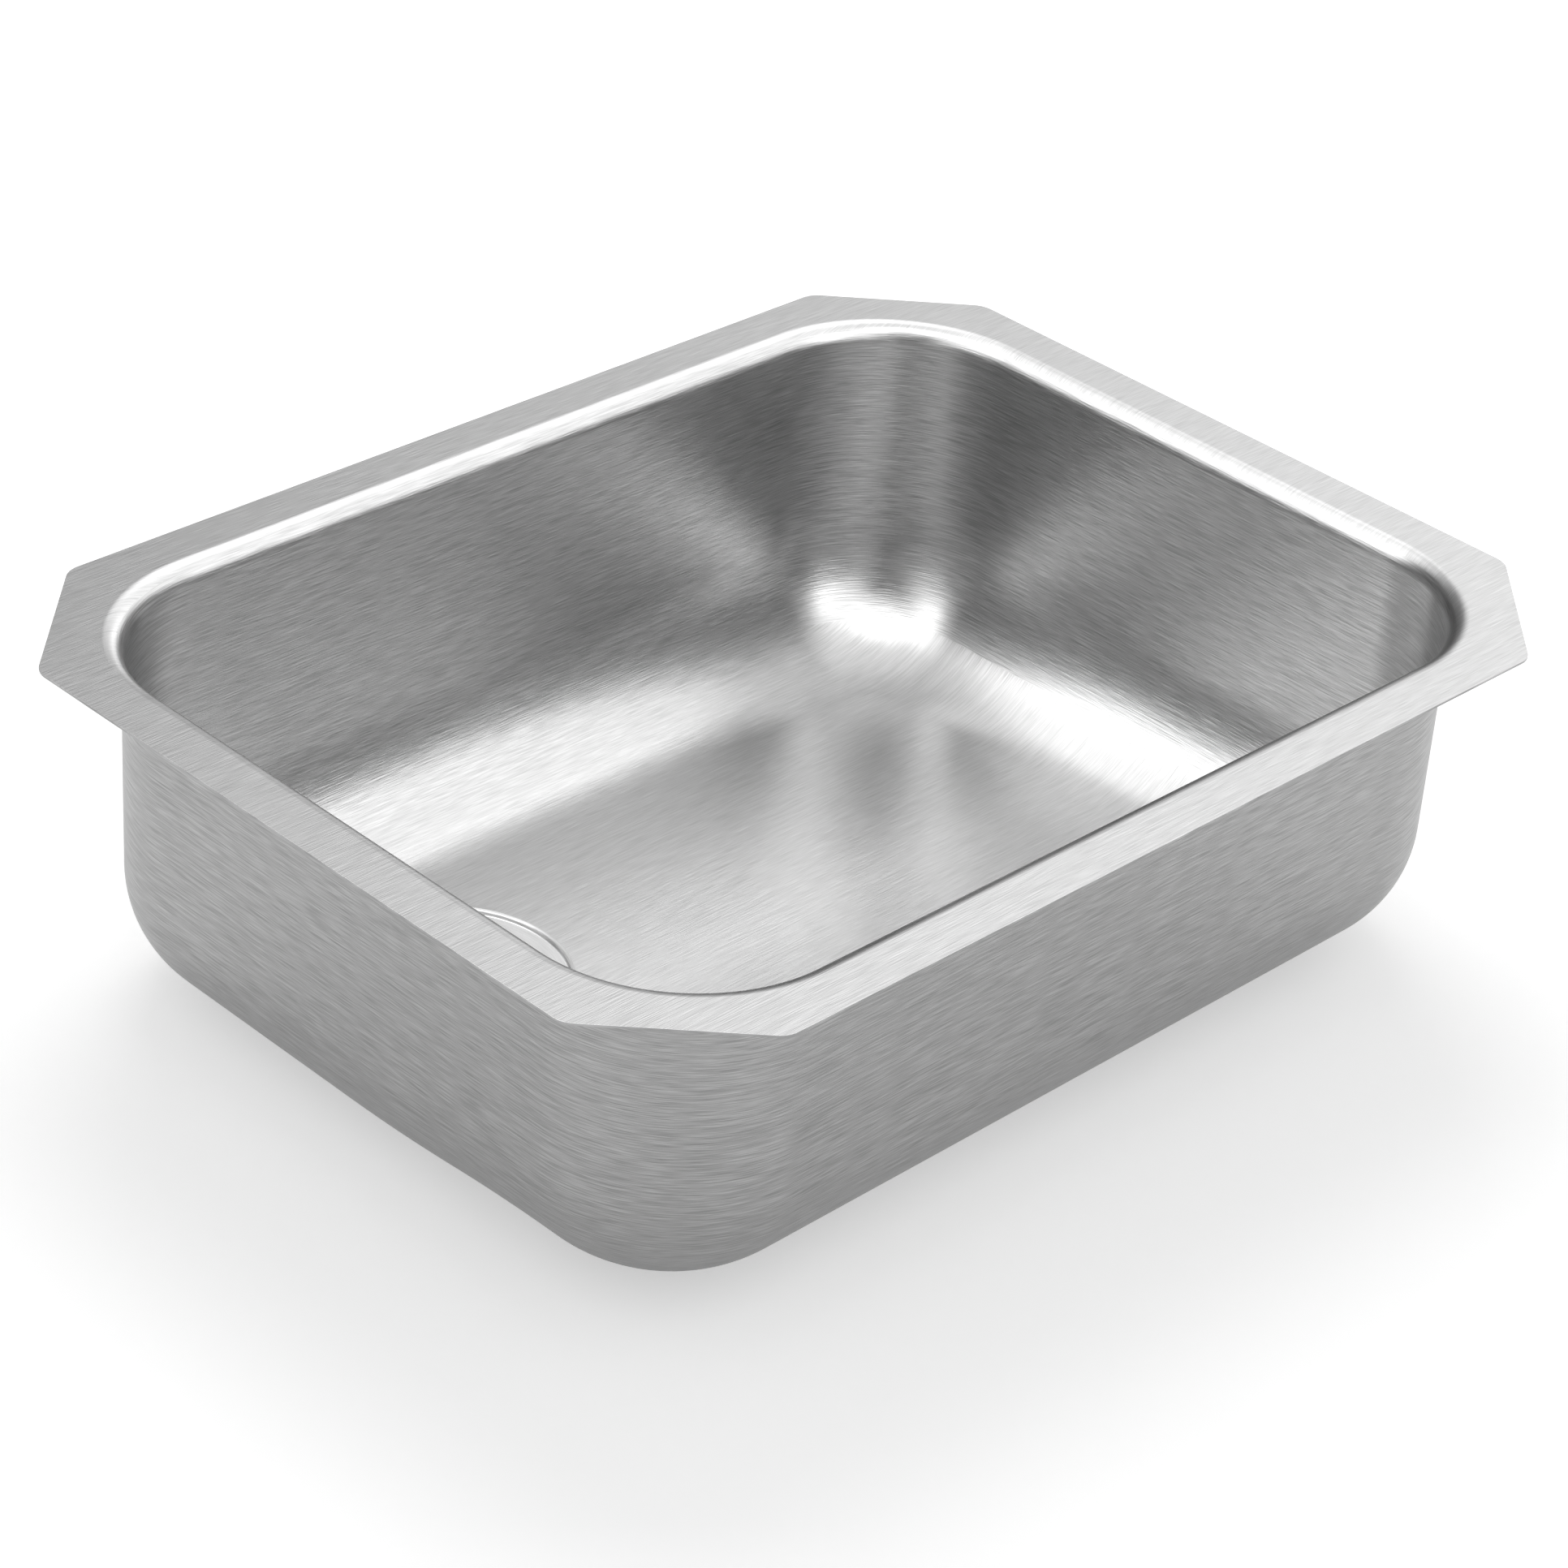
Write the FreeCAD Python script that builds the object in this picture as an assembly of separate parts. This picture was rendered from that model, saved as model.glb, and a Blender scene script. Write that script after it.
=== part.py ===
import FreeCAD
import Part
import math
import os

# Undermount kitchen sink, in millimetres.
# Origin: centre of the flange's upper plane, the face that meets the worktop.
# +X runs along the long side, +Y towards the rear wall, +Z up.

INCH = 25.4

# ---- sheet and basin ----
sheet = 1.2                      # 18 gauge stainless sheet, one thickness throughout
basin_x = 21.0 * INCH            # inside length between the end walls
basin_y = 15.875 * INCH          # inside width between the front and rear walls
plan_corner_r = 3.0 * INCH       # vertical corners, inside
base_r = 2.4 * INCH              # sweep between walls and floor, inside

# ---- rolled rim and flange ----
rim_r = 0.375 * INCH             # bend between flange and wall, on the basin side
flange_flat = 0.875 * INCH       # flat of the flange outside the bend, the same all round
flange_vertex_r = 0.5 * INCH     # rounding of the eight plan corners of the flange

# ---- floor, falling from the front to the drain ----
depth_front = 174.1              # flange plane to the floor in front of the fall
floor_fall = 5.5                 # drop from there to the level part round the drain

# ---- recessed seat for the strainer ----
seat_r = 55.7                    # outer edge of the flat seat
seat_slope_run = 3.8             # from there out to the lip, in plan
seat_depth = 2.8                 # seat below the floor
drain_r = 1.75 * INCH            # 3-1/2 inch outlet
shelf_left = 7.7                 # floor left between the lip and the sweep of the left wall
shelf_rear = 5.1                 # the same towards the rear wall
shelf_front = 6.6                # level floor between the lip and the foot of the fall

# ---- sound-deadening pads, bonded under the floor ----
pad_thick = 3.0
pad_edge_gap = 8.0               # pad edge back from the start of the base sweep
pad_split_gap = 12.0             # bare strip between the two pads
pad_corner_r = 12.0
pad_drain_clear = 22.0           # bare ring outside the lip, room for the strainer's nut

# ---- derived ----
half_x = basin_x / 2
half_y = basin_y / 2
rim_half_x = half_x + rim_r
rim_half_y = half_y + rim_r
flange_half_x = rim_half_x + flange_flat
flange_half_y = rim_half_y + flange_flat
corner_cx = half_x - plan_corner_r
corner_cy = half_y - plan_corner_r
# the 45 degree cuts keep the flange flat as wide at the corners as along the sides
rim_cut_line = corner_cx + corner_cy + (plan_corner_r + rim_r) * math.sqrt(2)
flange_cut_line = rim_cut_line + flange_flat * math.sqrt(2)
flange_cut = flange_half_x + flange_half_y - flange_cut_line
lip_r = seat_r + seat_slope_run
drain_x = -half_x + base_r + shelf_left + lip_r
drain_y = half_y - base_r - shelf_rear - lip_r
# the fall starts past the front corners; it is two equal arcs, crowned in front and hollow behind
fall_y0 = -corner_cy
fall_y1 = drain_y - lip_r - shelf_front
fall_run = fall_y1 - fall_y0
fall_r = (fall_run ** 2 + floor_fall ** 2) / (4 * floor_fall)
depth_rear = depth_front + floor_fall
seat_z = -depth_rear - seat_depth
below = seat_z - 10 * sheet - 2 * pad_thick


def vec(x, y, z=0.0):
    return FreeCAD.Vector(x, y, z)


def middle(edge):
    return edge.valueAt((edge.FirstParameter + edge.LastParameter) / 2)


def prism(points, z0, z1, r):
    """Upright prism on a polygon, with its vertical edges rounded."""
    ring = [vec(x, y, z0) for x, y in points]
    ring.append(ring[0])
    block = Part.Face(Part.makePolygon(ring)).extrude(vec(0, 0, z1 - z0))
    posts = [e for e in block.Edges if e.BoundBox.ZLength > (z1 - z0) / 2]
    return block.makeFillet(r, posts)


def rectangle(x0, x1, y0, y1):
    return [(x0, y0), (x1, y0), (x1, y1), (x0, y1)]


def octagon(hx, hy, cut):
    return [(hx - cut, -hy), (hx, -hy + cut), (hx, hy - cut), (hx - cut, hy),
            (-hx + cut, hy), (-hx, hy - cut), (-hx, -hy + cut), (-hx + cut, -hy)]


def profile_line(p, q):
    return Part.makeLine(vec(0, *p), vec(0, *q))


def profile_arc(centre, radius, p, q):
    """Arc of the YZ plane from p to q, the short way round its centre."""
    dy = (p[0] + q[0]) / 2 - centre[0]
    dz = (p[1] + q[1]) / 2 - centre[1]
    k = radius / math.hypot(dy, dz)
    return Part.Arc(vec(0, *p), vec(0, centre[0] + k * dy, centre[1] + k * dz), vec(0, *q)).toShape()


def under_floor(offset):
    """Everything below the floor sunk by offset: its side profile, drawn along the basin."""
    crown = (fall_y0, -depth_front - fall_r)
    hollow = (fall_y1, -depth_rear + fall_r)
    top = (fall_y0, -depth_front - offset)
    foot = (fall_y1, -depth_rear - offset)
    k = (fall_r - offset) / (2 * fall_r)
    change = (crown[0] + k * (hollow[0] - crown[0]), crown[1] + k * (hollow[1] - crown[1]))
    reach = basin_x + basin_y
    edges = [profile_arc(crown, fall_r - offset, top, change),
             profile_arc(hollow, fall_r + offset, change, foot)]
    outline = [foot, (reach, foot[1]), (reach, 2 * below), (-reach, 2 * below), (-reach, top[1]), top]
    edges += [profile_line(p, q) for p, q in zip(outline, outline[1:])]
    block = Part.Face(Part.Wire(edges)).extrude(vec(2 * reach, 0))
    block.translate(vec(-reach, 0))
    return block


def tub(offset, top_z):
    """Solid that fills the basin above its floor, grown outwards by offset all over."""
    hx = half_x + offset
    hy = half_y + offset
    r = plan_corner_r + offset
    body = prism(rectangle(-hx, hx, -hy, hy), below, top_z, r).cut(under_floor(offset))
    foot = []
    for e in body.Edges:
        m = middle(e)
        on_side = abs(abs(m.x) - hx) < 0.01 or abs(abs(m.y) - hy) < 0.01
        on_corner = abs(math.hypot(abs(m.x) - corner_cx, abs(m.y) - corner_cy) - r) < 0.01
        on_floor = e.BoundBox.ZMax < -depth_front / 2 and e.BoundBox.ZLength < depth_front / 4
        if on_floor and (on_side or on_corner):
            foot.append(e)
    return body.makeFillet(base_r + offset, foot)


def recess(offset):
    """Round plug that presses the strainer's seat into the floor, grown by offset."""
    # where two faces meet at an angle, the corner of the offset faces moves out by this much
    shift = offset * math.tan(math.atan2(seat_depth, seat_slope_run) / 2)
    floor_z = -depth_rear - offset
    root = (seat_r + shift, seat_z - offset)
    lip = (lip_r + shift, floor_z)
    outline = [(0.0, root[1]), root, lip, (lip[0], floor_z + sheet), (0.0, floor_z + sheet)]
    edges = [profile_line(p, q) for p, q in zip(outline, outline[1:] + outline[:1])]
    plug = Part.Face(Part.Wire(edges)).revolve(vec(0, 0), vec(0, 0, 1), 360)
    plug.translate(vec(drain_x, drain_y))
    return plug


def level_edges(shape, z, rim):
    """Edges in the plane z: those round the basin opening if rim, else those of the flange."""
    found = []
    for e in shape.Edges:
        m = middle(e)
        level = abs(m.z - z) < 1e-4 and e.BoundBox.ZLength < 1e-3
        x, y = abs(m.x), abs(m.y)
        inside = x < rim_half_x + sheet and y < rim_half_y + sheet and x + y < rim_cut_line + sheet
        if level and inside == rim:
            found.append(e)
    return found


def sink_bowl():
    """One sheet: flange, rolled rim, walls, falling floor and drain seat."""
    plate = prism(octagon(flange_half_x, flange_half_y, flange_cut), -sheet, 0.0, flange_vertex_r)
    body = plate.fuse(tub(sheet, -sheet / 2))
    body = body.makeFillet(rim_r - sheet, level_edges(body, -sheet, True))
    body = body.fuse(recess(sheet))
    body = body.cut(tub(0.0, rim_r).fuse(recess(0.0)))
    body = body.makeFillet(rim_r, level_edges(body, 0.0, True))
    outlet = Part.makeCylinder(drain_r, -below, vec(drain_x, drain_y, below))
    return body.cut(outlet).removeSplitter()


def floor_pads():
    """Pads that follow the underside of the falling floor."""
    layer = tub(sheet + pad_thick, -sheet).cut(tub(sheet, 0.0))
    hx = half_x - base_r - pad_edge_gap
    hy = half_y - base_r - pad_edge_gap
    nut_room = Part.makeCylinder(lip_r + pad_drain_clear, -below, vec(drain_x, drain_y, below))
    split = drain_x + lip_r
    spans = {"pad_floor_main": (split + pad_split_gap / 2, hx),
             "pad_floor_front": (-hx, split - pad_split_gap / 2)}
    made = {}
    for name, (x0, x1) in spans.items():
        blank = prism(rectangle(x0, x1, -hy, hy), below, -depth_front, pad_corner_r)
        made[name] = layer.common(blank).cut(nut_room)
    return made


def main():
    os.makedirs("parts", exist_ok=True)
    pieces = {"sink_bowl": sink_bowl()}
    pieces.update(floor_pads())
    for name, shape in pieces.items():
        solid = max(shape.Solids, key=lambda s: s.Volume)
        solid.exportStep("parts/" + name + ".step")
        print(name, solid.isValid(), len(shape.Solids), round(solid.Volume), solid.CenterOfMass)


main()
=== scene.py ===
import math

import bpy
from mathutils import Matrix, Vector


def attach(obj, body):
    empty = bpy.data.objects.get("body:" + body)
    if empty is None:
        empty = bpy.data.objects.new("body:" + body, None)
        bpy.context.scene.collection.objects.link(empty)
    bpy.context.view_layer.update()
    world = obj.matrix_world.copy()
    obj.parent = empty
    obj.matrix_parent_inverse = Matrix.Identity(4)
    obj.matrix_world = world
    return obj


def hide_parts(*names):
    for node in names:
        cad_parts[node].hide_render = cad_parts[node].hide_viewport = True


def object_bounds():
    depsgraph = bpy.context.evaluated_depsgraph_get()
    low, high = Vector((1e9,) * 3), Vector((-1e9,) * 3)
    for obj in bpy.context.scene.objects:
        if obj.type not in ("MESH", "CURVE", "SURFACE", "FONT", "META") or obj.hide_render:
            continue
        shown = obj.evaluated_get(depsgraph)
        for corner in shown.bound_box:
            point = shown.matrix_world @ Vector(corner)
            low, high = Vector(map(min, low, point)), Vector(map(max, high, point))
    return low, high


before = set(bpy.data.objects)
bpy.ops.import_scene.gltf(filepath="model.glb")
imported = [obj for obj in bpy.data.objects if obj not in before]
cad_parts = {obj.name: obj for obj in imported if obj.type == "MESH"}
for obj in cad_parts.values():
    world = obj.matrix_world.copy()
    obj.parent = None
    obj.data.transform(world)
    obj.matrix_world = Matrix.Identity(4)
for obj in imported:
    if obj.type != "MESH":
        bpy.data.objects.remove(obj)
cad_low, cad_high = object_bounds()

# Lengths of the sink are in millimetres, as in part.py, and MM turns them into Blender's metres.
# The grain, the camera and the studio are in metres.
MM = 0.001
INCH = 25.4
UP = Vector((0, 0, 1))

# ---- the pressed bowl ----
sheet = 1.2
half_x = 21.0 * INCH / 2
half_y = 15.875 * INCH / 2
plan_corner_r = 3.0 * INCH       # vertical corners, inside
base_r = 2.4 * INCH              # sweep between walls and floor, inside
rim_r = 0.375 * INCH             # bend between flange and wall
flange_flat = 0.875 * INCH
flange_vertex_r = 0.5 * INCH     # rounding of the flange's plan corners
eighth_turn = 45.0               # degrees between two sides of the flange
depth_front = 174.1
floor_fall = 5.5
edge_r = 0.12                    # broken edge round the flange

# ---- drain seat ----
lip_r = 59.5                     # outer edge of the recess
seat_depth = 2.8                 # at the outlet, below the floor
seat_fall = 0.6                  # from the foot of the step in to the outlet
lip_bend_r = 2.3                 # bend at the lip
seat_bend_r = 0.8                # bend at the foot of the step down to the seat
step_tilt = math.radians(58)     # how steep the step is between the two bends
drain_r = 1.75 * INCH
outlet_edge_r = 0.25
shelf_left = 7.7                 # floor between the lip and the sweep of the left wall
shelf_rear = 5.1                 # the same towards the rear wall
shelf_front = 6.6                # level floor in front of the lip

# ---- derived ----
corner_cx = half_x - plan_corner_r
corner_cy = half_y - plan_corner_r
flange_run = rim_r + flange_flat                     # wall to the flange's edge, in plan
outline_r = plan_corner_r + rim_r + flange_flat      # corner centre to each side of the flange
depth_rear = depth_front + floor_fall
drain_x = -half_x + base_r + shelf_left + lip_r
drain_y = half_y - base_r - shelf_rear - lip_r
fall_y0 = -corner_cy
fall_y1 = drain_y - lip_r - shelf_front
fall_run = fall_y1 - fall_y0
fall_r = (fall_run ** 2 + floor_fall ** 2) / (4 * floor_fall)
fall_tilt = math.asin(fall_run / 2 / fall_r)
step_depth = seat_depth - seat_fall
bends_r = lip_bend_r + seat_bend_r
step_flat = (step_depth - bends_r * (1 - math.cos(step_tilt))) / math.sin(step_tilt)
step_run = bends_r * math.sin(step_tilt) + step_flat * math.cos(step_tilt)

# ---- mesh density: stations round the basin, then rows down the sheet ----
wall_step = 5.0                  # between stations along the straight walls
vertex_half_turn = 2.7           # degrees each side of a flange corner with closer stations
plain_turns = 6                  # stations to there from the middle of a side
vertex_turns = 10                # stations across it
edge_rows = 3
flat_rows = 4
rim_rows = 14
wall_rows = 8
sweep_rows = 28
floor_rows = 32
lip_rows = 8
foot_rows = 6
seat_rows = 3
outlet_rows = 3

# ---- brushed steel ----
fine_grain = (0.016, 0.00048)    # streaks: length along the grain, width across it
broad_grain = (0.040, 0.0020)    # slow drift from patch to patch: the same
grain_noise = (2.0, 0.5)         # detail and roughness of the noise
noise_middle = 0.5
streak_swing = 0.2               # noise each side of its middle that spans the two greys
sheet_greys = (0.365, 0.605)     # darkest and palest streak of the brushed sheet
seat_greys_painted_highlight = (0.56, 0.72)        # the same on the turned seat, paler: a painted highlight that makes the seat read as bright as it shines
drift_span = (0.3, 0.7)          # of the broad noise
drift_factor = (0.98, 1.02)      # what the greys are multiplied by at its ends
gloss_span = (0.25, 0.75)        # of the fine noise
steel_roughness = (0.275, 0.295)
steel_anisotropy = 0.35
highlight_turn = 0.25            # in turns: highlights are stretched across the grain
streak_height = 0.00012
upright_rise = 0.35              # Z of the normal up to which the grain is at full strength
level_rise = 0.9                 # Z of the normal from which it is weakest
level_strength = 0.5             # the strength there

# ---- pad rubber ----
mottle_scale = 900.0             # per metre
mottle_noise = (4.0, 0.6)        # detail and roughness of the noise
mottle_span = (0.3, 0.7)
rubber_greys = (0.040, 0.085)
rubber_roughness = (0.62, 0.85)
mottle_bump = (0.4, 0.0003)      # strength and height

# ---- camera, solved from the eight corners of the flange in the photograph ----
camera_place = (-1.285880, -1.216184, 1.011765)
camera_turn = (58.00322, -3.66802, -44.23682)
camera_lens = 103.375
camera_sensor = 36.0
camera_clip = (0.05, 50.0)

# ---- floor and lamp ----
floor_reach = 6.0                # from the middle to each side
floor_grey = 0.80
lift_mirrored = 0.15             # light added to the floor that metal or glass mirrors
lift_seen = 0.42                 # light added to the floor that the camera sees
lamp_towards = (52.0, 57.0)      # azimuth and elevation, in degrees
lamp_distance = 2.6
lamp_size = 1.5
lamp_power = 26.0

# ---- studio ----
ceiling_rise = (0.03, 0.26)      # Z of a direction: the room's walls fade into its ceiling
ceiling_light = 1.86
soft_light = 0.62                # what matt surfaces get from all sides
# Both lists give azimuth, elevation, inner and outer angle in degrees. Dark patches end with the
# share of the light that is left, soft lights with the light that is added.
dark_patches = (
    (90.0, 0.0, 40.0, 60.0, 0.12),       # unlit room behind the rear left corner
    (217.0, 34.0, 12.0, 30.0, 0.0),      # the camera's own side of the room
    (38.0, 23.0, 4.0, 25.0, 0.72),       # thin scrim where the flange mirrors the room
    (0.0, 90.0, 5.0, 34.0, 0.78),        # dimmer middle of the ceiling
)
soft_lights = (
    (150.0, 45.0, 14.0, 28.0, 1.7),      # seen in the sweep below the right wall
    (30.0, 55.0, 6.0, 21.0, 1.3),        # seen in the lower sweep of the rear wall
    (20.0, 0.0, 8.0, 30.0, 1.1),         # low light beyond the far corner
    (223.0, 58.0, 14.0, 28.0, 1.8),      # above the camera, seen in the far corner
    (280.0, 28.0, 7.0, 25.0, 1.7),       # on the front right, seen in the rear wall
    (93.0, 53.0, 4.0, 22.0, 1.0),        # seen in the lower sweep of the right wall
)


def steps(start, end, count):
    return [start + (end - start) * k / count for k in range(count + 1)]


# ------------------------------------------------------------------ plan of the bowl

def flange_outline(angle):
    """Flange edge seen from a corner centre: distance, and the angle that the edge faces.

    Over a quarter turn it passes three straight sides and, halfway between them, two rounded
    vertices."""
    half = math.radians(eighth_turn / 2)
    side = eighth_turn * round(angle / eighth_turn)
    off = math.radians(angle - side)
    tangent = math.atan2((outline_r - flange_vertex_r) * math.tan(half), outline_r)
    if abs(off) <= tangent:
        return outline_r / math.cos(off), side
    vertex = eighth_turn * (0.5 if angle < eighth_turn else 1.5)
    centre = (outline_r - flange_vertex_r) / math.cos(half)
    turn = math.radians(angle - vertex)
    across = centre * math.sin(turn)
    reach = centre * math.cos(turn) + math.sqrt(flange_vertex_r ** 2 - across ** 2)
    facing = math.atan2(reach * math.sin(turn), reach * math.cos(turn) - centre)
    return reach, vertex + math.degrees(facing)


def corner_angles():
    """Stations of a quarter turn in degrees, closer together where the flange has a vertex."""
    start = eighth_turn / 2 - vertex_half_turn
    end = eighth_turn / 2 + vertex_half_turn
    half = steps(0.0, start, plain_turns)
    half += steps(start, end, vertex_turns)[1:]
    half += steps(end, eighth_turn, plain_turns)[1:]
    return half + [90.0 - a for a in reversed(half[:-1])]


def stations():
    """Places round the basin: wall point, outward direction, flange edge, edge's facing, run."""
    found = []
    run = 0.0
    corners = [(1, 1, 0), (-1, 1, 90), (-1, -1, 180), (1, -1, 270)]
    for sx, sy, turn in corners:
        cx = sx * corner_cx
        cy = sy * corner_cy
        for a in corner_angles():
            angle = math.radians(turn + a)
            out = (math.cos(angle), math.sin(angle))
            wall = (cx + plan_corner_r * out[0], cy + plan_corner_r * out[1])
            reach, facing = flange_outline(a)
            edge = (cx + reach * out[0], cy + reach * out[1])
            gone = run + plan_corner_r * math.radians(a)
            found.append((wall, out, edge, math.radians(turn + facing), gone))
        run += plan_corner_r * math.pi / 2
        length = 2 * (corner_cx if sx * sy > 0 else corner_cy)
        angle = math.radians(turn + 90)
        out = (math.cos(angle), math.sin(angle))
        along = (-out[1], out[0])
        start = found[-1][0]
        count = int(length / wall_step)
        for k in range(1, count):
            s = length * k / count
            wall = (start[0] + s * along[0], start[1] + s * along[1])
            edge = (wall[0] + flange_run * out[0], wall[1] + flange_run * out[1])
            found.append((wall, out, edge, angle, run + s))
        run += length
    return found, run


# ------------------------------------------------------------------ section of the bowl

def floor_at(y):
    """Height and tilt of the basin floor at y; the tilt leans the floor's normal towards +Y."""
    if y <= fall_y0:
        return -depth_front, 0.0
    if y >= fall_y1:
        return -depth_rear, 0.0
    if y < (fall_y0 + fall_y1) / 2:
        tilt = math.asin((y - fall_y0) / fall_r)
        return -depth_front - fall_r * (1 - math.cos(tilt)), tilt
    tilt = math.asin((fall_y1 - y) / fall_r)
    return -depth_rear + fall_r * (1 - math.cos(tilt)), tilt


def sweep_centre(y):
    """Height of the ball that rolls between wall and floor, and the floor's tilt under it."""
    change_y = (fall_y0 + fall_y1) / 2 + base_r * math.sin(fall_tilt)
    if y <= fall_y0:
        return -depth_front + base_r, 0.0
    if y >= fall_y1:
        return -depth_rear + base_r, 0.0
    if y < change_y:
        tilt = math.asin((y - fall_y0) / (fall_r + base_r))
        return -depth_front - fall_r + (fall_r + base_r) * math.cos(tilt), tilt
    tilt = math.asin((fall_y1 - y) / (fall_r - base_r))
    return -depth_rear + fall_r - (fall_r - base_r) * math.cos(tilt), tilt


def leaning(angle, ray):
    """Upward direction, tipped by angle away from the ray."""
    return math.cos(angle) * UP - math.sin(angle) * ray


def flange_section(edge, facing, rim):
    """Broken edge and flat of the flange, up to where the rim bend starts."""
    face = Vector((math.cos(facing), math.sin(facing), 0))
    inner = Vector((*edge, -edge_r)) - edge_r * face
    rows = []
    for a in steps(0.0, math.pi / 2, edge_rows):
        normal = math.cos(a) * face + math.sin(a) * UP
        rows.append((inner + edge_r * normal, normal))
    level = rows[-1][0]
    for t in steps(0.0, 1.0, flat_rows)[1:-1]:
        rows.append((level.lerp(rim, t), UP))
    return rows


def wall_section(upright, side, centre_z, tilt):
    """Rim bend, straight wall and the sweep down to the floor."""
    rim = upright + rim_r * side
    rows = [(rim, UP)]
    for a in steps(math.pi / 2, 0.0, rim_rows)[1:]:
        normal = -math.cos(a) * side + math.sin(a) * UP
        rows.append((rim - rim_r * UP + rim_r * normal, normal))
    for t in steps(0.0, 1.0, wall_rows)[1:]:
        rows.append((upright - (rim_r - t * (centre_z + rim_r)) * UP, -side))
    centre = upright - base_r * side + centre_z * UP
    lean = Vector((0, math.sin(tilt), math.cos(tilt)))
    for a in steps(0.0, math.pi / 2, sweep_rows)[1:]:
        normal = -math.cos(a) * side + math.sin(a) * lean
        rows.append((centre - base_r * normal, normal))
    return rows


def floor_section(start, drain, ray):
    """Floor from the foot of the sweep to the lip of the recess, then the bend over the lip."""
    lip = drain + lip_r * ray
    rows = []
    for t in steps(0.0, 1.0, floor_rows)[1:]:
        point = start.lerp(lip, t)
        point.z, tilt = floor_at(point.y)
        rows.append((point, Vector((0, math.sin(tilt), math.cos(tilt)))))
    for a in steps(0.0, step_tilt, lip_rows)[1:]:
        normal = leaning(a, ray)
        rows.append((lip - lip_bend_r * UP + lip_bend_r * normal, normal))
    return rows


def seat_section(drain, ray):
    """Bend at the foot of the step, seat of the strainer and rounded edge of the outlet."""
    foot = drain + (lip_r - step_run) * ray - step_depth * UP
    mouth = drain + (drain_r + outlet_edge_r) * ray - seat_depth * UP
    seat_tilt = math.atan2(seat_fall, (foot - mouth).dot(ray))
    rows = []
    for a in steps(step_tilt, seat_tilt, foot_rows):
        normal = leaning(a, ray)
        rows.append((foot + seat_bend_r * (UP - normal), normal))
    seat = rows[-1][0]
    for t in steps(0.0, 1.0, seat_rows)[1:]:
        rows.append((seat.lerp(mouth, t), leaning(seat_tilt, ray)))
    for a in steps(0.0, math.pi / 2, outlet_rows)[1:]:
        normal = leaning(a, ray)
        rows.append((mouth - outlet_edge_r * UP + outlet_edge_r * normal, normal))
    return rows


def measured(rows):
    """Each row of points and normals with its distance down the sheet from the first one."""
    found = []
    down = 0.0
    last = rows[0][0]
    for point, normal in rows:
        down += (point - last).length
        last = point
        found.append((point, normal, down))
    return found


def profile(wall, out, edge, facing):
    """Upper face of the sheet at one station, from the flange edge in to the outlet.

    Each row is a point, its normal and its distance down the sheet. The distance starts again
    at the rim bend, so that the grain of the walls runs level round the basin."""
    side = Vector((*out, 0))
    upright = Vector((*wall, 0))
    flange = flange_section(edge, facing, upright + rim_r * side)
    bowl = wall_section(upright, side, *sweep_centre(wall[1]))
    start = bowl[-1][0]
    drain = Vector((drain_x, drain_y, -depth_rear))
    ray = Vector((start.x - drain_x, start.y - drain_y, 0)).normalized()
    bowl += floor_section(start, drain, ray)
    bowl += seat_section(drain, ray)
    return measured(flange) + measured(bowl)


def under_side(rows):
    """Lower face of the sheet, from the outlet back out to the flange edge.

    The rounded edges of the flange and of the outlet are mirrored in the sheet's middle."""
    below = []
    for k in reversed(range(len(rows))):
        point, normal, down = rows[k]
        at_flange = k <= edge_rows
        at_outlet = k >= len(rows) - outlet_rows - 1
        if at_flange or at_outlet:
            middle = -sheet / 2 if at_flange else -depth_rear - seat_depth - sheet / 2
            mirrored = Vector((point.x, point.y, 2 * middle - point.z))
            below.append((mirrored, Vector((normal.x, normal.y, -normal.z)), down))
        else:
            below.append((point - sheet * normal, -normal, down))
    return below


# ------------------------------------------------------------------ grain map and skin

def drain_distance(row):
    return math.hypot(row[0].x - drain_x, row[0].y - drain_y)


def drain_turn(row):
    """Direction of a row as seen from the drain's axis, in radians."""
    return math.atan2(row[0].y - drain_y, row[0].x - drain_x)


def finish_of(corners):
    """How a face was brushed: turned inside the lip, along X where it is nearer level than
    upright, and round the basin elsewhere."""
    if max(drain_distance(row) for row in corners) < lip_r + lip_bend_r:
        return "turned"
    rise = abs(sum(row[1].z for row in corners)) / len(corners)
    return "level" if rise > math.sqrt(0.5) else "upright"


def grain_map(row, finish, run, turn):
    """Where a corner of a face lies on the grain map: along the grain, then across it."""
    point, _, down = row
    if finish == "turned":
        return MM * lip_r * turn, MM * drain_distance(row)
    if finish == "level":
        return MM * point.x, MM * point.y
    return MM * run, MM * down


def skin_faces(rings, runs):
    """Faces between neighbouring rings, the grain map of their corners, and which are seat."""
    count = len(rings[0])
    turns = [drain_turn(ring[count // 2]) for ring in rings]
    seat_top = -depth_rear - step_depth + seat_bend_r * (1 - math.cos(step_tilt))
    faces = []
    grain = []
    seat = []
    for i in range(len(rings)):
        j = (i + 1) % len(rings)
        spread = (turns[j] - turns[i]) % (2 * math.pi)
        for k in range(count):
            m = (k + 1) % count
            faces.append((i * count + k, j * count + k, j * count + m, i * count + m))
            corners = (rings[i][k], rings[j][k], rings[j][m], rings[i][m])
            finish = finish_of(corners)
            for row, side in zip(corners, (0, 1, 1, 0)):
                grain.append(grain_map(row, finish, runs[i + side], turns[i] + side * spread))
            seat.append(finish == "turned" and max(row[0].z for row in corners) < seat_top)
    return faces, grain, seat


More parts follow.
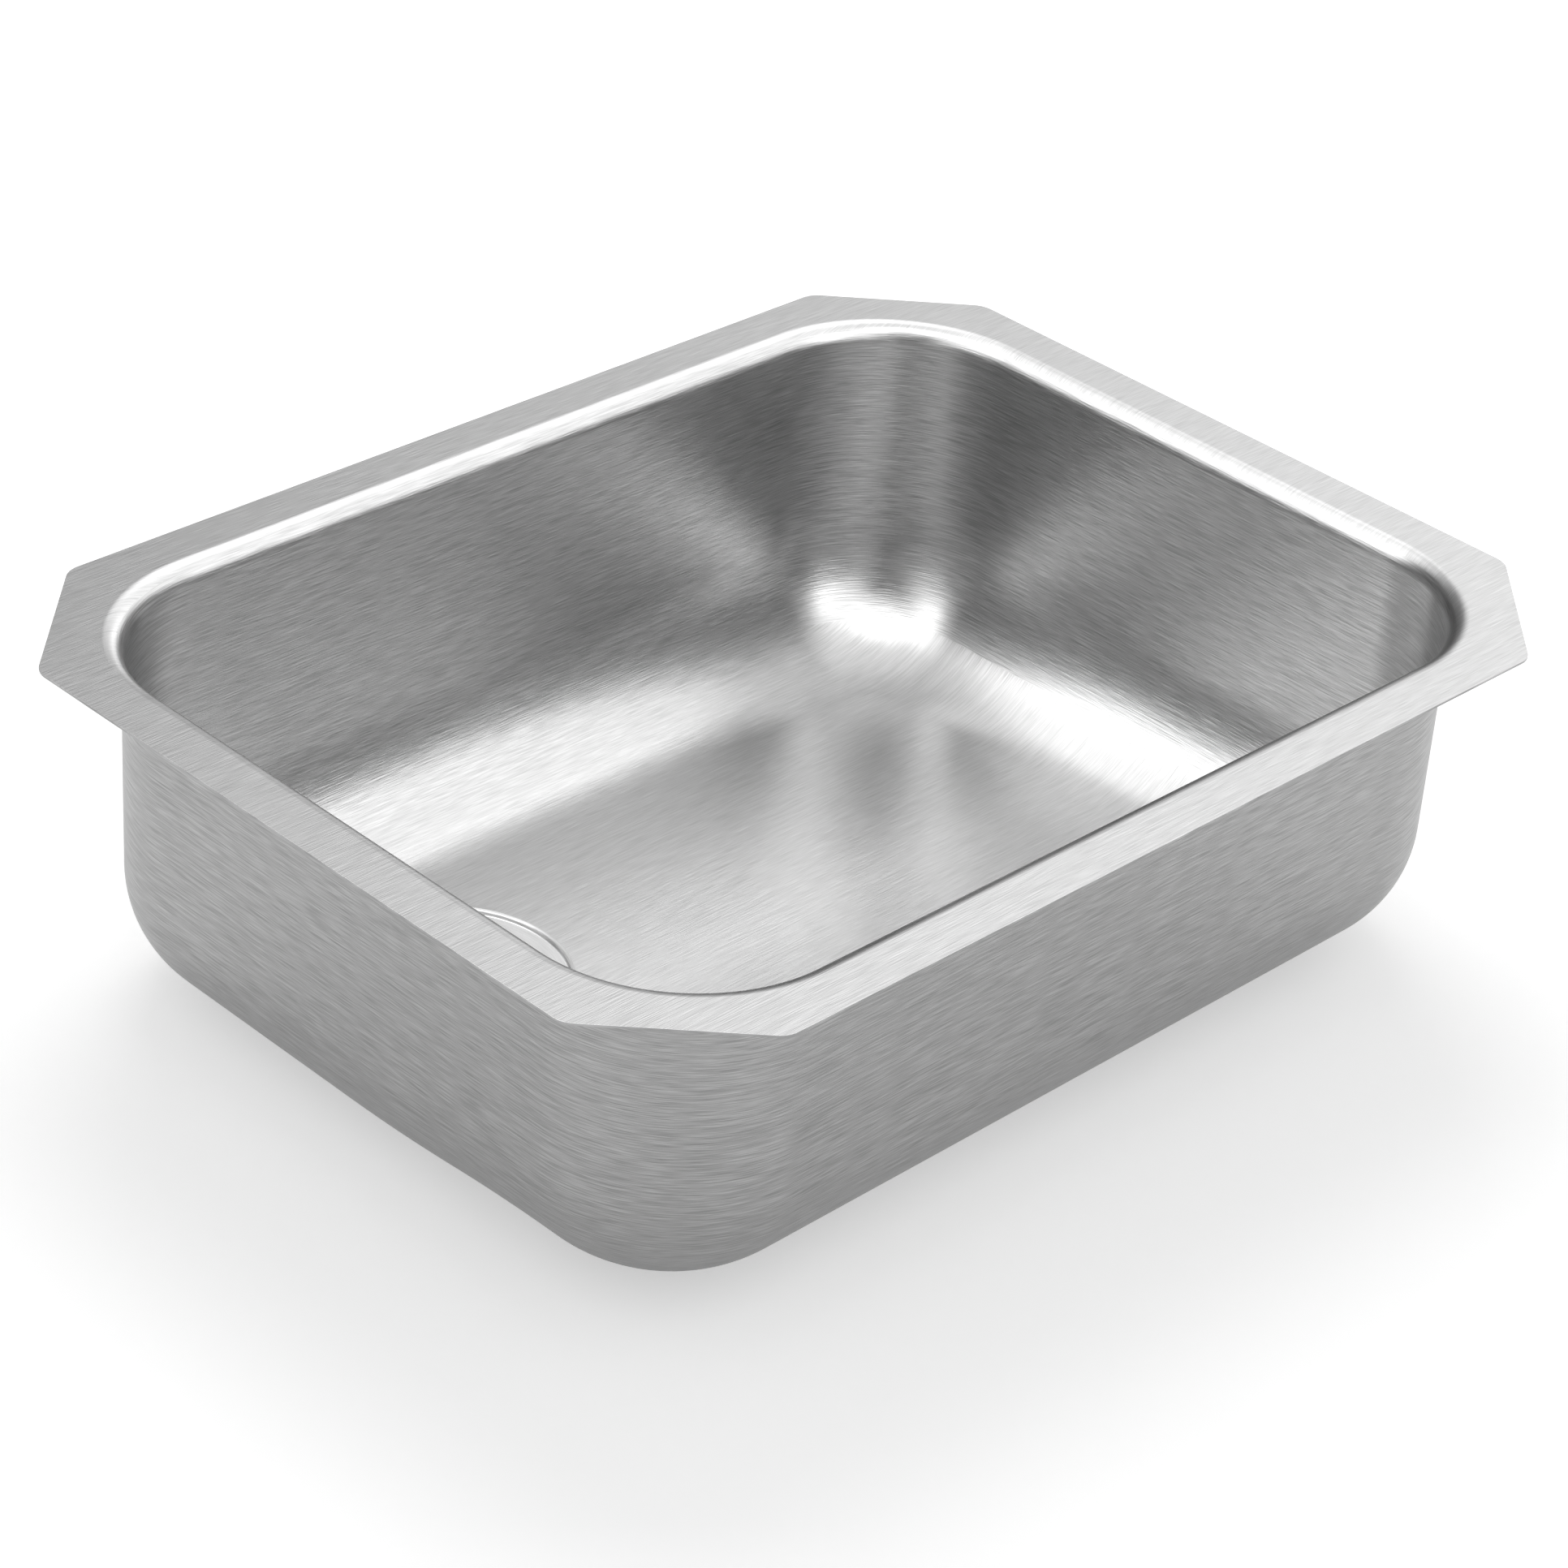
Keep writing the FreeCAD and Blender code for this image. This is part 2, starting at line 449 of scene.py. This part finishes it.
def sink_mesh():
    """The bowl as one closed skin: rings of rows, joined all the way round the basin.

    Its UV map carries the grain. Faces of the seat use the second material."""
    places, around = stations()
    rings = []
    for wall, out, edge, facing, _ in places:
        top = profile(wall, out, edge, facing)
        rings.append(top + under_side(top))
    runs = [run for *_, run in places] + [around]
    faces, grain, seat = skin_faces(rings, runs)
    mesh = bpy.data.meshes.new("sink_bowl_brushed")
    mesh.from_pydata([tuple(MM * row[0]) for ring in rings for row in ring], [], faces)
    for face, on_seat in zip(mesh.polygons, seat):
        face.material_index = 1 if on_seat else 0
    layer = mesh.uv_layers.new(name="grain")
    for loop, uv in zip(layer.data, grain):
        loop.uv = uv
    mesh.shade_smooth()
    mesh.normals_split_custom_set_from_vertices([tuple(row[1]) for ring in rings for row in ring])
    return mesh, MM * around


# ------------------------------------------------------------------ node helpers

def new_material(name):
    material = bpy.data.materials.new(name)
    material.use_nodes = True
    tree = material.node_tree
    tree.nodes.clear()
    output = tree.nodes.new("ShaderNodeOutputMaterial")
    return material, tree, output


def math_node(tree, kind, a, b=None):
    """Maths on sockets or plain numbers."""
    node = tree.nodes.new("ShaderNodeMath")
    node.operation = kind
    for socket, value in zip(node.inputs, (a, b)):
        if value is None:
            continue
        if isinstance(value, (int, float)):
            socket.default_value = value
        else:
            tree.links.new(value, socket)
    return node.outputs[0]


def map_range(tree, value, source, target, smooth=False):
    """Value carried from the source span to the target span, and held at their ends."""
    node = tree.nodes.new("ShaderNodeMapRange")
    if smooth:
        node.interpolation_type = "SMOOTHSTEP"
    for name, number in zip(("From Min", "From Max", "To Min", "To Max"), (*source, *target)):
        node.inputs[name].default_value = number
    tree.links.new(value, node.inputs["Value"])
    return node.outputs["Result"]


def noise_node(tree, vector, detail, roughness):
    node = tree.nodes.new("ShaderNodeTexNoise")
    node.inputs["Scale"].default_value = 1.0
    node.inputs["Detail"].default_value = detail
    node.inputs["Roughness"].default_value = roughness
    tree.links.new(vector, node.inputs["Vector"])
    return node.outputs["Fac"]


def split(tree, vector):
    """Sockets X, Y and Z of a vector."""
    parts = tree.nodes.new("ShaderNodeSeparateXYZ")
    tree.links.new(vector, parts.inputs[0])
    return parts.outputs


def grey(tree, value):
    colour = tree.nodes.new("ShaderNodeCombineColor")
    for name in ("Red", "Green", "Blue"):
        tree.links.new(value, colour.inputs[name])
    return colour.outputs[0]


def bump(tree, relief, strength, height):
    node = tree.nodes.new("ShaderNodeBump")
    node.inputs["Strength"].default_value = strength
    node.inputs["Distance"].default_value = height
    tree.links.new(relief, node.inputs["Height"])
    return node.outputs[0]


def mix_shaders(tree, factor, first, second):
    node = tree.nodes.new("ShaderNodeMixShader")
    tree.links.new(factor, node.inputs[0])
    tree.links.new(first, node.inputs[1])
    tree.links.new(second, node.inputs[2])
    return node.outputs[0]


def camera_or_mirror(tree):
    """Two sockets, 1 or 0: a ray of the camera or one that metal or glass sends on, and a ray of
    the camera alone."""
    path = tree.nodes.new("ShaderNodeLightPath")
    glossy = path.outputs["Is Glossy Ray"]
    mirrored = math_node(tree, "MAXIMUM", glossy, path.outputs["Is Transmission Ray"])
    seen = path.outputs["Is Camera Ray"]
    return math_node(tree, "MAXIMUM", mirrored, seen), seen


# ------------------------------------------------------------------ materials

def streaks(tree, around, length, width):
    """Noise drawn out along the grain; it closes on itself round the walls."""
    coords = tree.nodes.new("ShaderNodeUVMap")
    coords.uv_map = "grain"
    parts = split(tree, coords.outputs["UV"])
    ring = around / (2 * math.pi)
    angle = math_node(tree, "DIVIDE", parts["X"], ring)
    across = math_node(tree, "MULTIPLY", parts["Y"], 1.0 / width)
    joined = tree.nodes.new("ShaderNodeCombineXYZ")
    for name, kind in (("X", "COSINE"), ("Y", "SINE")):
        turn = math_node(tree, "MULTIPLY", math_node(tree, kind, angle), ring / length)
        tree.links.new(turn, joined.inputs[name])
    tree.links.new(across, joined.inputs["Z"])
    return noise_node(tree, joined.outputs[0], *grain_noise)


def grain_strength(tree):
    """How deep the grain is: full on upright faces, fading to a fine satin on level ones."""
    coords = tree.nodes.new("ShaderNodeTexCoord")
    rise = math_node(tree, "ABSOLUTE", split(tree, coords.outputs["Normal"])["Z"])
    return map_range(tree, rise, (upright_rise, level_rise), (1.0, level_strength))


def brushed_steel(name, around, greys):
    """Stainless steel whose grain runs along the mesh's grain map, between two greys."""
    material, tree, output = new_material(name)
    shader = tree.nodes.new("ShaderNodeBsdfPrincipled")
    fine = streaks(tree, around, *fine_grain)
    broad = streaks(tree, around, *broad_grain)
    middled = math_node(tree, "SUBTRACT", fine, noise_middle)
    ridge = math_node(tree, "MULTIPLY", middled, grain_strength(tree))
    shade = map_range(tree, ridge, (-streak_swing, streak_swing), greys)
    drift = map_range(tree, broad, drift_span, drift_factor)
    value = math_node(tree, "MULTIPLY", shade, drift)
    tree.links.new(grey(tree, value), shader.inputs["Base Color"])
    rough = map_range(tree, fine, gloss_span, steel_roughness)
    tree.links.new(rough, shader.inputs["Roughness"])
    shader.inputs["Metallic"].default_value = 1.0
    shader.inputs["Anisotropic"].default_value = steel_anisotropy
    shader.inputs["Anisotropic Rotation"].default_value = highlight_turn
    tangent = tree.nodes.new("ShaderNodeTangent")
    tangent.direction_type = "UV_MAP"
    tangent.uv_map = "grain"
    tree.links.new(tangent.outputs[0], shader.inputs["Tangent"])
    tree.links.new(bump(tree, ridge, 1.0, streak_height), shader.inputs["Normal"])
    tree.links.new(shader.outputs[0], output.inputs["Surface"])
    return material


def pad_rubber():
    """Dark grey filled rubber, matt, with the faint mottle of a cut sheet."""
    material, tree, output = new_material("pad_rubber")
    shader = tree.nodes.new("ShaderNodeBsdfPrincipled")
    coords = tree.nodes.new("ShaderNodeNewGeometry")
    scaled = tree.nodes.new("ShaderNodeVectorMath")
    scaled.operation = "SCALE"
    scaled.inputs["Scale"].default_value = mottle_scale
    tree.links.new(coords.outputs["Position"], scaled.inputs[0])
    mottle = noise_node(tree, scaled.outputs[0], *mottle_noise)
    value = map_range(tree, mottle, mottle_span, rubber_greys)
    tree.links.new(grey(tree, value), shader.inputs["Base Color"])
    rough = map_range(tree, mottle, mottle_span, rubber_roughness)
    tree.links.new(rough, shader.inputs["Roughness"])
    tree.links.new(bump(tree, mottle, *mottle_bump), shader.inputs["Normal"])
    tree.links.new(shader.outputs[0], output.inputs["Surface"])
    return material


def floor_material():
    """Pale matt floor that keeps the sink's shadow, lifted for the camera and for mirrors.

    From below it is clear, so that the underside of the sink can be looked at."""
    material, tree, output = new_material("pale_floor")
    matt = tree.nodes.new("ShaderNodeBsdfDiffuse")
    matt.inputs["Color"].default_value = (floor_grey, floor_grey, floor_grey, 1.0)
    either, seen = camera_or_mirror(tree)
    lift = tree.nodes.new("ShaderNodeEmission")
    lift.inputs["Color"].default_value = (1.0, 1.0, 1.0, 1.0)
    strength = map_range(tree, seen, (0.0, 1.0), (lift_mirrored, lift_seen))
    tree.links.new(strength, lift.inputs["Strength"])
    both = tree.nodes.new("ShaderNodeAddShader")
    tree.links.new(matt.outputs[0], both.inputs[0])
    tree.links.new(lift.outputs[0], both.inputs[1])
    above = mix_shaders(tree, either, matt.outputs[0], both.outputs[0])
    clear = tree.nodes.new("ShaderNodeBsdfTransparent")
    from_below = tree.nodes.new("ShaderNodeNewGeometry").outputs["Backfacing"]
    surface = mix_shaders(tree, from_below, above, clear.outputs[0])
    tree.links.new(surface, output.inputs["Surface"])
    return material


# ------------------------------------------------------------------ studio

def towards(azimuth, elevation):
    """Direction, one metre long, to a place in the sky that is given in degrees."""
    a = math.radians(azimuth)
    e = math.radians(elevation)
    return (math.cos(e) * math.cos(a), math.cos(e) * math.sin(a), math.sin(e))


def sky_patch(tree, direction, azimuth, elevation, inner, outer):
    """1 inside a round patch of the sky, fading to 0 at its outer angle."""
    dot = tree.nodes.new("ShaderNodeVectorMath")
    dot.operation = "DOT_PRODUCT"
    tree.links.new(direction, dot.inputs[0])
    dot.inputs[1].default_value = towards(azimuth, elevation)
    angle = math_node(tree, "ARCCOSINE", dot.outputs["Value"])
    fade = (math.radians(inner), math.radians(outer))
    return map_range(tree, angle, fade, (1.0, 0.0), smooth=True)


def mirrored_room(tree):
    """Strength of the light that metal and glass mirror: ceiling, dark patches, soft lights."""
    direction = tree.nodes.new("ShaderNodeTexCoord").outputs["Generated"]
    rise = split(tree, direction)["Z"]
    level = map_range(tree, rise, ceiling_rise, (0.0, ceiling_light), smooth=True)
    for *place, left in dark_patches:
        kept = map_range(tree, sky_patch(tree, direction, *place), (0.0, 1.0), (1.0, left))
        level = math_node(tree, "MULTIPLY", level, kept)
    for *place, strength in soft_lights:
        added = math_node(tree, "MULTIPLY", sky_patch(tree, direction, *place), strength)
        level = math_node(tree, "ADD", level, added)
    return level


def background(tree):
    """White light of strength 1, as its strength socket and its shader."""
    node = tree.nodes.new("ShaderNodeBackground")
    node.inputs["Color"].default_value = (1.0, 1.0, 1.0, 1.0)
    node.inputs["Strength"].default_value = 1.0
    return node.inputs["Strength"], node.outputs[0]


def studio_world():
    """White for the camera, the room for metal and glass, and an even soft light for the rest."""
    world = bpy.data.worlds.new("studio")
    bpy.context.scene.world = world
    world.use_nodes = True
    tree = world.node_tree
    tree.nodes.clear()
    output = tree.nodes.new("ShaderNodeOutputWorld")
    room_strength, room = background(tree)
    tree.links.new(mirrored_room(tree), room_strength)
    soft_strength, soft = background(tree)
    soft_strength.default_value = soft_light
    _, white = background(tree)
    either, seen = camera_or_mirror(tree)
    shown = mix_shaders(tree, seen, room, white)
    tree.links.new(mix_shaders(tree, either, soft, shown), output.inputs["Surface"])


def camera():
    """The camera at the photograph's viewing angle."""
    data = bpy.data.cameras.new("camera")
    data.lens = camera_lens
    data.sensor_width = camera_sensor
    data.clip_start, data.clip_end = camera_clip
    made = bpy.data.objects.new("camera", data)
    made.location = camera_place
    made.rotation_euler = [math.radians(a) for a in camera_turn]
    bpy.context.scene.collection.objects.link(made)
    bpy.context.scene.camera = made


def floor_plane(height):
    """The floor, at the height of the sink's lowest point."""
    square = ((-1, -1), (1, -1), (1, 1), (-1, 1))
    verts = [(floor_reach * x, floor_reach * y, height) for x, y in square]
    mesh = bpy.data.meshes.new("floor")
    mesh.from_pydata(verts, [], [(0, 1, 2, 3)])
    made = bpy.data.objects.new("floor", mesh)
    mesh.materials.append(floor_material())
    bpy.context.scene.collection.objects.link(made)


def rear_light():
    """Soft lamp behind the sink for its shadow on the floor. Metal doesn't mirror it."""
    data = bpy.data.lights.new("rear_light", "AREA")
    data.shape = "RECTANGLE"
    data.size = lamp_size
    data.size_y = lamp_size
    data.energy = lamp_power
    made = bpy.data.objects.new("rear_light", data)
    place = Vector([lamp_distance * c for c in towards(*lamp_towards)])
    made.location = place
    made.rotation_euler = (-place).to_track_quat("-Z", "Y").to_euler()
    made.visible_glossy = False
    bpy.context.scene.collection.objects.link(made)


# ------------------------------------------------------------------ pieces

def sink_bowl():
    """The brushed skin, in place of the plain solid."""
    mesh, around = sink_mesh()
    bowl = bpy.data.objects.new("sink_bowl_brushed", mesh)
    bpy.context.scene.collection.objects.link(bowl)
    mesh.materials.append(brushed_steel("brushed_steel", around, sheet_greys))
    # The seat's steel has paler greys than the sheet: a painted highlight, so that the seat reads
    # as bright as it shines.
    mesh.materials.append(brushed_steel("turned_steel_painted_highlight", around, seat_greys_painted_highlight))
    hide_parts("sink_bowl")
    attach(bowl, "root")


def floor_pads():
    """The pads keep the meshes of their solids and get the rubber."""
    rubber = pad_rubber()
    for name in ("pad_floor_main", "pad_floor_front"):
        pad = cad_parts[name]
        for place in pad.material_slots:
            place.material = rubber


# ------------------------------------------------------------------ scene

sink_bowl()
floor_pads()
camera()
floor_plane(cad_low.z)
studio_world()
rear_light()
bpy.context.scene.view_settings.view_transform = "Standard"
